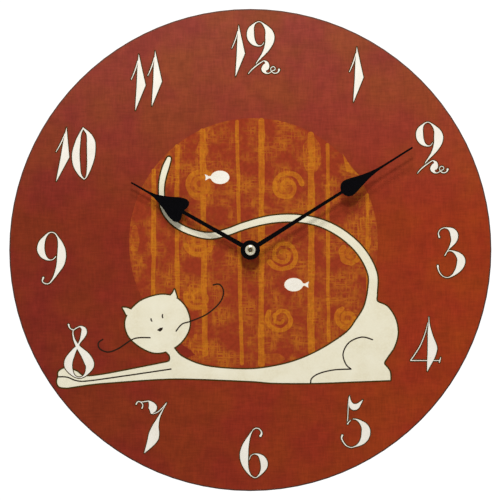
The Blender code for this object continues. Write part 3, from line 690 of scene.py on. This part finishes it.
FISH_HALF_LENGTH = 5.9
FISH_HALF_HEIGHT = 4.2
FISH_SIDES = 40
FISH_EDGE = 0.3


def fish(x, z, way):
    """A plain fish with a small tail fin. It swims to way, 1 for the right and -1 for the left."""
    tail = [(5.2, -1.1), (7.0, -0.6), (9.3, -2.0), (9.0, 0.0), (9.7, 2.0), (7.0, 0.7), (5.2, 1.1)]
    body = ellipse(x, z, FISH_HALF_LENGTH, FISH_HALF_HEIGHT, FISH_SIDES)
    return [body, [(x - way * back, z + up) for back, up in tail]]


# Each fish's middle and the way it swims.
FISHES = {"fish_upper": (-19.1, 45.9, 1), "fish_lower": (27.4, -21.9, -1)}
for name, place in FISHES.items():
    shapes = fish(*place)
    rim = [shape for corners in shapes for shape in border(corners, FISH_EDGE)]
    ink(f"{name}_edge", shapes + rim, OUTLINE_LAYER, MUSTARD)
    ink(name, shapes, FILL_LAYER, WHITE)


# ---------------------------------------------------------------- CAD nodes: edges and finishes

EASED_STEPS = 3
SHARP_EDGE = math.radians(50)


def ease_edges(name, width):
    """Rounds the sharp edges of a CAD node by this many mm."""
    bevel = nodes[name].modifiers.new("eased_edges", "BEVEL")
    bevel.width = width * MM
    bevel.segments = EASED_STEPS
    bevel.limit_method = "ANGLE"
    bevel.angle_limit = SHARP_EDGE
    bevel.harden_normals = True


EASED = {"hour_hand": 0.24, "minute_hand": 0.24, "hand_nut": 0.12, "hex_nut": 0.2, "brass_washer": 0.12}
for name, width in EASED.items():
    ease_edges(name, width)


# The board's edge is painted from just inside the print's edge outwards, in mm.
RIM_START = 150.6
RIM_BLEND = 0.3


def rim_painted(finish, paint):
    """Paints the finish at the rim of the board."""
    tree = finish.node_tree
    bare = tree.nodes["Principled BSDF"].inputs["Base Color"].links[0].from_socket
    outside = share_along(finish, "XZ", RIM_START, RIM_START + RIM_BLEND)
    colour(finish, mix(finish, outside, bare, linear(paint)))


GLOSS_BLACK = plain_finish("gloss_black", (2, 2, 3), (5, 4, 7), 0.17, grain=2.0, depth=0.001)
CASE_BLACK = plain_finish("moulded_black", (14, 14, 15), (26, 26, 27), 0.5, grain=0.5, depth=0.03)
FIBRE = plain_finish("fibreboard", (120, 88, 58), (152, 116, 80), 0.85, grain=0.6, depth=0.05)
rim_painted(FIBRE, (84, 46, 28))
BRASS = plain_finish("brass", (176, 140, 72), (206, 172, 100), 0.28, metallic=1.0, grain=0.4,
                     depth=0.004)
# The hand nut is brass, but its colour is lightened towards cream: a painted reflection that makes the
# whole nut look brightly lit.
NUT_BRASS_PAINTED_BRIGHT = plain_finish("brass_with_painted_reflection", (222, 212, 176), (246, 240, 214), 0.2, metallic=0.7,
                         grain=0.5, depth=0.003)
STEEL = plain_finish("steel", (150, 152, 156), (190, 192, 196), 0.3, metallic=1.0, grain=0.4,
                     depth=0.004)
RUBBER = plain_finish("rubber", (18, 18, 18), (32, 31, 30), 0.85, grain=0.5, depth=0.03)
ACETAL = plain_finish("white_acetal", (214, 214, 208), (234, 234, 228), 0.4, grain=0.8, depth=0.01)
KNOB = plain_finish("grey_knob", (168, 170, 172), (196, 198, 200), 0.45, grain=0.6, depth=0.02)
COPPER = plain_finish("copper_wire", (150, 70, 34), (196, 104, 56), 0.35, metallic=1.0, grain=0.25,
                      depth=0.06, stretch=(1.0, 1.0, 12.0))
CIRCUIT = plain_finish("circuit_green", (16, 66, 36), (26, 90, 50), 0.4, coat=0.4, grain=1.2,
                       depth=0.01)
JACKET = plain_finish("cell_jacket", (38, 66, 120), (58, 92, 150), 0.35, coat=0.3, grain=3.0,
                      depth=0.004)

FINISHES = {
    "dial_board": FIBRE, "face_print": RED, "case_front": CASE_BLACK, "rear_cover": CASE_BLACK,
    "threaded_bushing": BRASS, "brass_washer": BRASS, "hex_nut": BRASS, "rubber_gasket": RUBBER,
    "hour_hand": GLOSS_BLACK, "minute_hand": GLOSS_BLACK, "hand_nut": NUT_BRASS_PAINTED_BRIGHT,
    "minute_pipe": BRASS, "hour_wheel": ACETAL, "motion_wheel": ACETAL, "setting_knob": KNOB,
    "center_wheel": ACETAL, "clutch_washer": STEEL, "seconds_wheel": ACETAL,
    "seconds_arbor": STEEL, "third_wheel": ACETAL, "intermediate_wheel": ACETAL,
    "rotor_pinion": ACETAL, "rotor_magnet": STEEL, "stator_plate": STEEL, "coil_core": STEEL,
    "coil_bobbin": ACETAL, "coil_winding": COPPER, "circuit_board": CIRCUIT, "chip": CASE_BLACK,
    "quartz_crystal": STEEL, "contact_positive": STEEL, "contact_negative": STEEL,
    "battery_cell": STEEL, "battery_jacket": JACKET,
}
for name, node in nodes.items():
    for number in range(len(node.material_slots)):
        node.material_slots[number].material = FINISHES[name]


# ---------------------------------------------------------------- floor, light and camera

FLOOR_DROP = 0.75
FLOOR_HALF = 2.0
floor_mesh = bpy.data.meshes.new("floor")
floor_mesh.from_pydata(
    [(FLOOR_HALF * a, FLOOR_HALF * b, -FLOOR_DROP) for a, b in ((-1, -1), (1, -1), (1, 1), (-1, 1))],
    [], [(0, 1, 2, 3)],
)
floor = bpy.data.objects.new("floor", floor_mesh)
bpy.context.scene.collection.objects.link(floor)
floor_mesh.materials.append(
    plain_finish("pale_floor", (226, 226, 226), (236, 236, 236), 0.8, grain=30.0, depth=0.1)
)

# Strength of the surround's light: from straight in front of the dial, and from elsewhere. The
# front is the directions whose y is below the first limit, and it fades out at the second.
FRONT_LIGHT = 0.04
SIDE_LIGHT = 0.45
FRONT_LIMITS = (-0.97, -0.8)
BACKDROP = 1.1


def studio_world():
    """Soft white light from all round but dim from the front, and a white backdrop."""
    world = bpy.data.worlds.new("studio")
    bpy.context.scene.world = world
    world.use_nodes = True
    tree = world.node_tree
    surround = tree.nodes["Background"]
    surround.inputs["Color"].default_value = (1.0, 1.0, 1.0, 1.0)
    direction = tree.nodes.new("ShaderNodeTexCoord")
    split = tree.nodes.new("ShaderNodeSeparateXYZ")
    screen = tree.nodes.new("ShaderNodeMapRange")
    screen.inputs["From Min"].default_value = FRONT_LIMITS[0]
    screen.inputs["From Max"].default_value = FRONT_LIMITS[1]
    screen.inputs["To Min"].default_value = FRONT_LIGHT
    screen.inputs["To Max"].default_value = SIDE_LIGHT
    tree.links.new(direction.outputs["Generated"], split.inputs["Vector"])
    tree.links.new(split.outputs["Y"], screen.inputs["Value"])
    tree.links.new(screen.outputs["Result"], surround.inputs["Strength"])
    backdrop = tree.nodes.new("ShaderNodeBackground")
    backdrop.inputs["Color"].default_value = (1.0, 1.0, 1.0, 1.0)
    backdrop.inputs["Strength"].default_value = BACKDROP
    rays = tree.nodes.new("ShaderNodeLightPath")
    choose = tree.nodes.new("ShaderNodeMixShader")
    tree.links.new(rays.outputs["Is Camera Ray"], choose.inputs["Fac"])
    tree.links.new(surround.outputs["Background"], choose.inputs[1])
    tree.links.new(backdrop.outputs["Background"], choose.inputs[2])
    tree.links.new(choose.outputs["Shader"], tree.nodes["World Output"].inputs[0])


LAMP_WATTS = 10.0
LAMP_SIZE = 0.22
LAMP_AWAY = 1.5


def soft_light(name, angle):
    """A square lamp in front, this many degrees up from straight ahead."""
    data = bpy.data.lights.new(name, "AREA")
    data.energy = LAMP_WATTS
    data.size = LAMP_SIZE
    lamp = bpy.data.objects.new(name, data)
    bpy.context.scene.collection.objects.link(lamp)
    turn = math.radians(angle)
    lamp.location = (0.0, -LAMP_AWAY * math.cos(turn), LAMP_AWAY * math.sin(turn))
    lamp.rotation_euler = (-lamp.location).to_track_quat("-Z", "Y").to_euler()


studio_world()
soft_light("upper_lamp", 56.0)
soft_light("lower_lamp", 40.0)

camera_data = bpy.data.cameras.new("camera")
camera = bpy.data.objects.new("camera", camera_data)
bpy.context.scene.collection.objects.link(camera)
CAMERA_AWAY = 1.6
CAMERA_SIDE = -0.0002
SHOWN_WIDTH = 0.3158
camera_data.lens = camera_data.sensor_width * CAMERA_AWAY / SHOWN_WIDTH
camera.location = (CAMERA_SIDE, PRINT_FRONT - CAMERA_AWAY, 0.0)
camera.rotation_euler = (math.radians(90), 0.0, 0.0)
bpy.context.scene.camera = camera
bpy.context.scene.view_settings.view_transform = "Standard"
